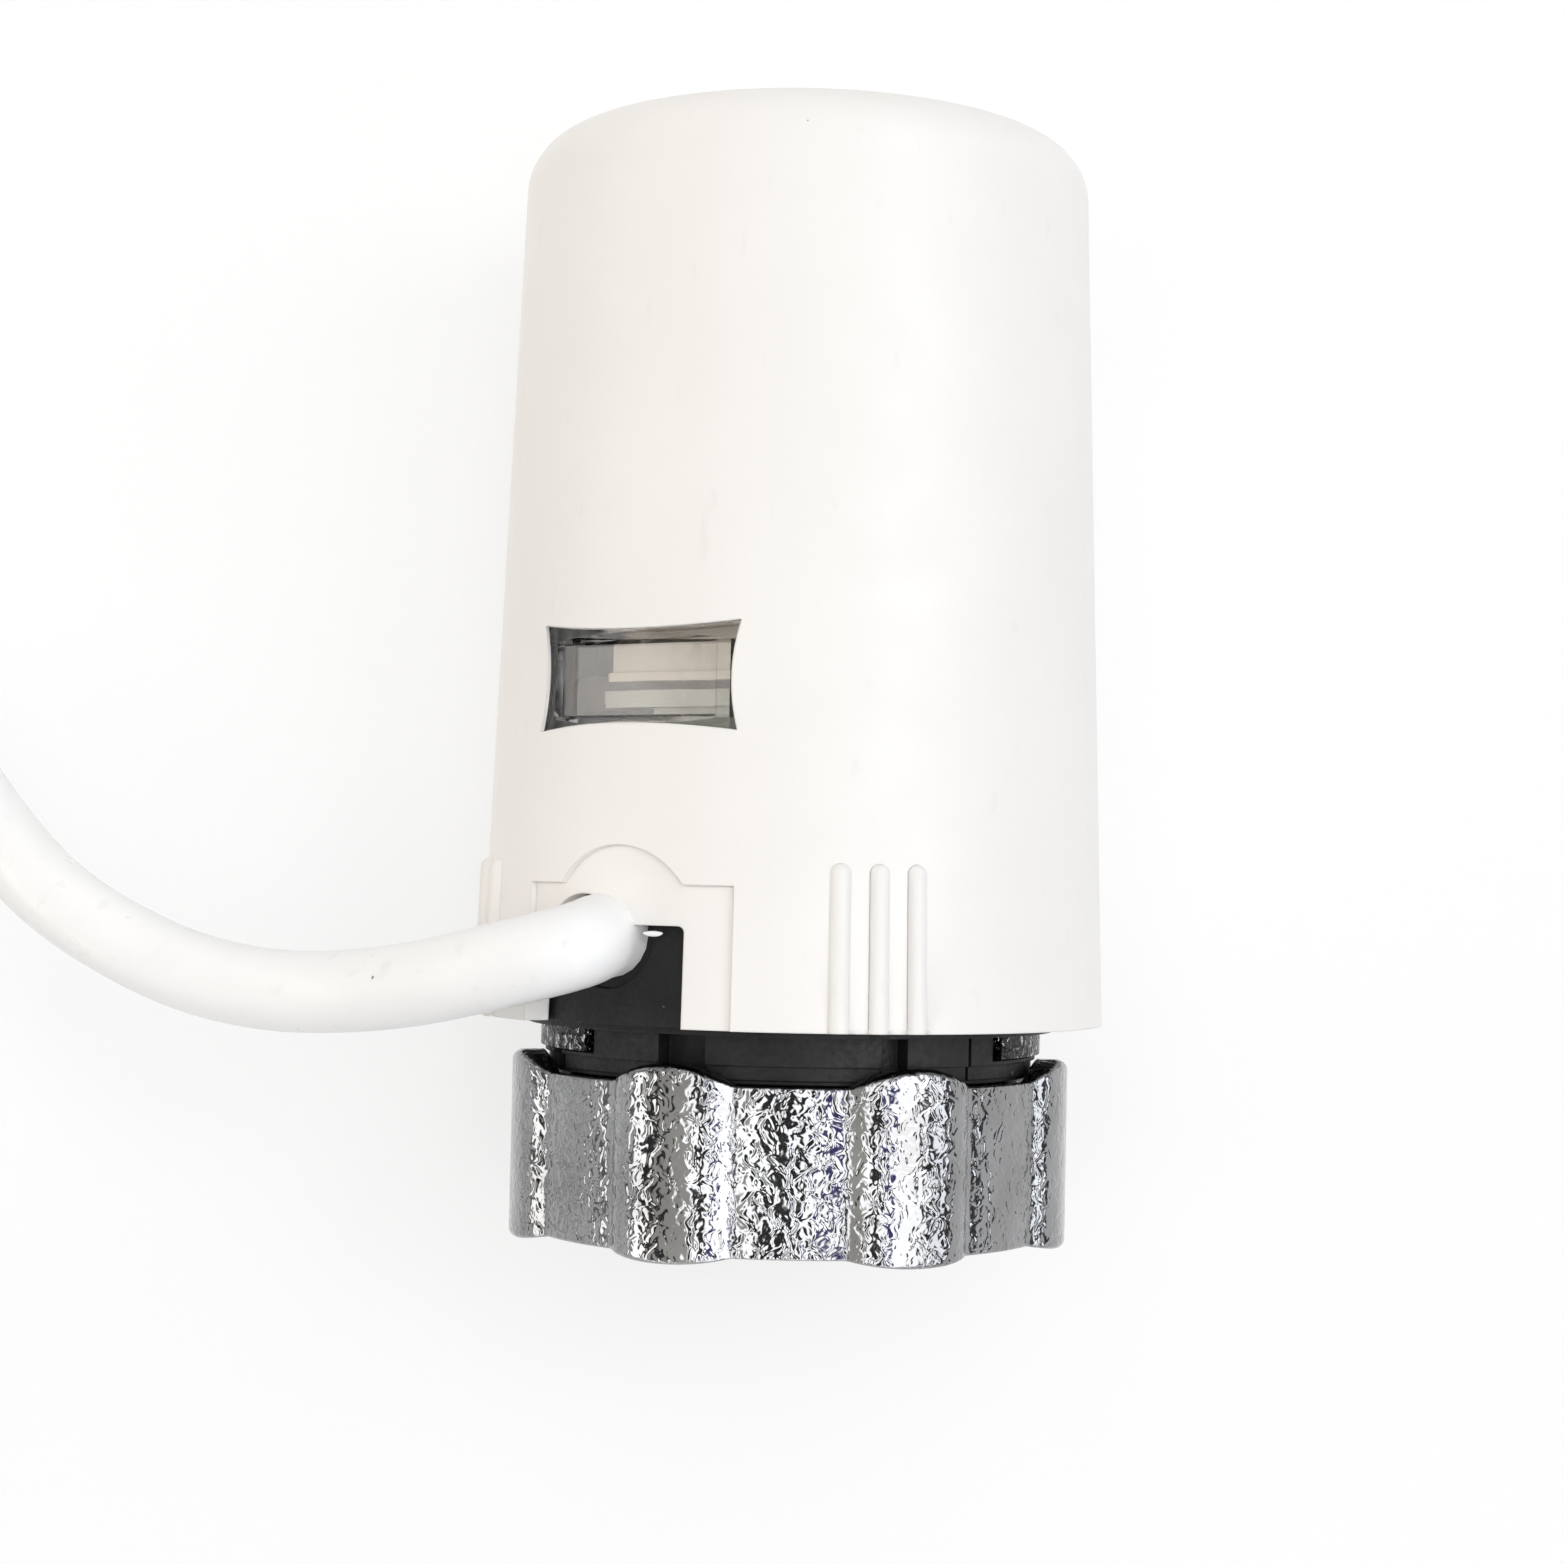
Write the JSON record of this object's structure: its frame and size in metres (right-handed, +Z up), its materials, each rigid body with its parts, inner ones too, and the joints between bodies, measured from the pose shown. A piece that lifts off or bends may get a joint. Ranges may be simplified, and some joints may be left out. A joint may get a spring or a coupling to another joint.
{
  "type": "thermal actuator",
  "caption": "Wax thermal actuator for a heating valve: white round casing with a position window, black base, chromed lobed union nut, lifting plunger inside and a white two-core cable.",
  "frame": {"origin": "on the axis of the union nut, where its thread starts behind the mouth", "axes": "+Z up from the table that the actuator lies on, with the window and the cable exit on the upper side. +Y along the actuator's axis from the nut to the closed top of the casing. The cable runs off towards -X."},
  "size_m": [0.158, 0.0982, 0.0406],
  "materials": {
    "casing_white": "satin",
    "lens_clear": "clear",
    "base_black": "fine grain",
    "nut_chrome": "hammered cast",
    "spring_steel": "drawn",
    "zinc_steel": "plated",
    "brass": "turned",
    "rubber_black": "matt",
    "cage_grey": "moulded",
    "frame_grey": "moulded",
    "indicator_cream": "moulded",
    "band_pale": "moulded",
    "holder_brown": "moulded",
    "heater_ceramic": "fired, silvered faces",
    "wax": "waxy",
    "cord_white": "extruded",
    "tie_natural": "moulded",
    "core_brown": "extruded",
    "core_blue": "extruded",
    "ferrule_tin": "tinned"
  },
  "bodies": {
    "housing": {"outer_casing": "casing_white", "window_lens": "lens_clear", "nut_retaining_ring": "spring_steel", "nut_slip_washer": "base_black", "retaining_clip": "spring_steel", "base_housing": "base_black", "guide_bush": "brass", "plunger_seal": "rubber_black", "scale_band": "band_pale", "inner_frame": "frame_grey", "heater_holder": "holder_brown", "holder_screws": "zinc_steel", "contact_live": "brass", "contact_neutral": "brass", "ptc_heater": "heater_ceramic", "wax_cup": "brass", "wax_charge": "wax", "diaphragm": "rubber_black", "piston_guide": "brass", "crimp_ring": "zinc_steel", "closing_spring": "spring_steel", "spring_seat": "zinc_steel", "cable_gland": "rubber_black", "cable_clamp": "frame_grey", "clamp_screws": "zinc_steel", "cord_lead": "cord_white", "cord_coil": "cord_white", "cable_tie": "tie_natural", "end_core_brown": "core_brown", "end_core_blue": "core_blue", "end_ferrules": "ferrule_tin", "inner_core_brown": "core_brown", "inner_core_blue": "core_blue", "crimp_sleeves": "ferrule_tin"},
    "nut": {"union_nut": "nut_chrome"},
    "lift": {"plunger": "base_black", "lifting_cage": "cage_grey", "position_indicator": "indicator_cream"},
    "piston": {"wax_piston": "zinc_steel"}
  },
  "joints": [
    {"name": "nut_turn", "type": "hinge", "parent": "housing", "child": "nut", "pos_m": [0, 0.003, 0], "axis": [0, 1, 0], "continuous": true},
    {"name": "plunger_lift", "type": "slide", "parent": "housing", "child": "lift", "axis": [0, 1, 0], "range_m": [0, 0.004], "stiffness_N_per_m": 600, "springref_m": -0.006, "deforming": ["closing_spring"]},
    {"name": "piston_stroke", "type": "slide", "parent": "housing", "child": "piston", "axis": [0, 1, 0], "range_m": [0, 0.004]}
  ],
  "couplings": [
    {"joint": "piston_stroke", "follows": "plunger_lift", "ratio": 1}
  ]
}
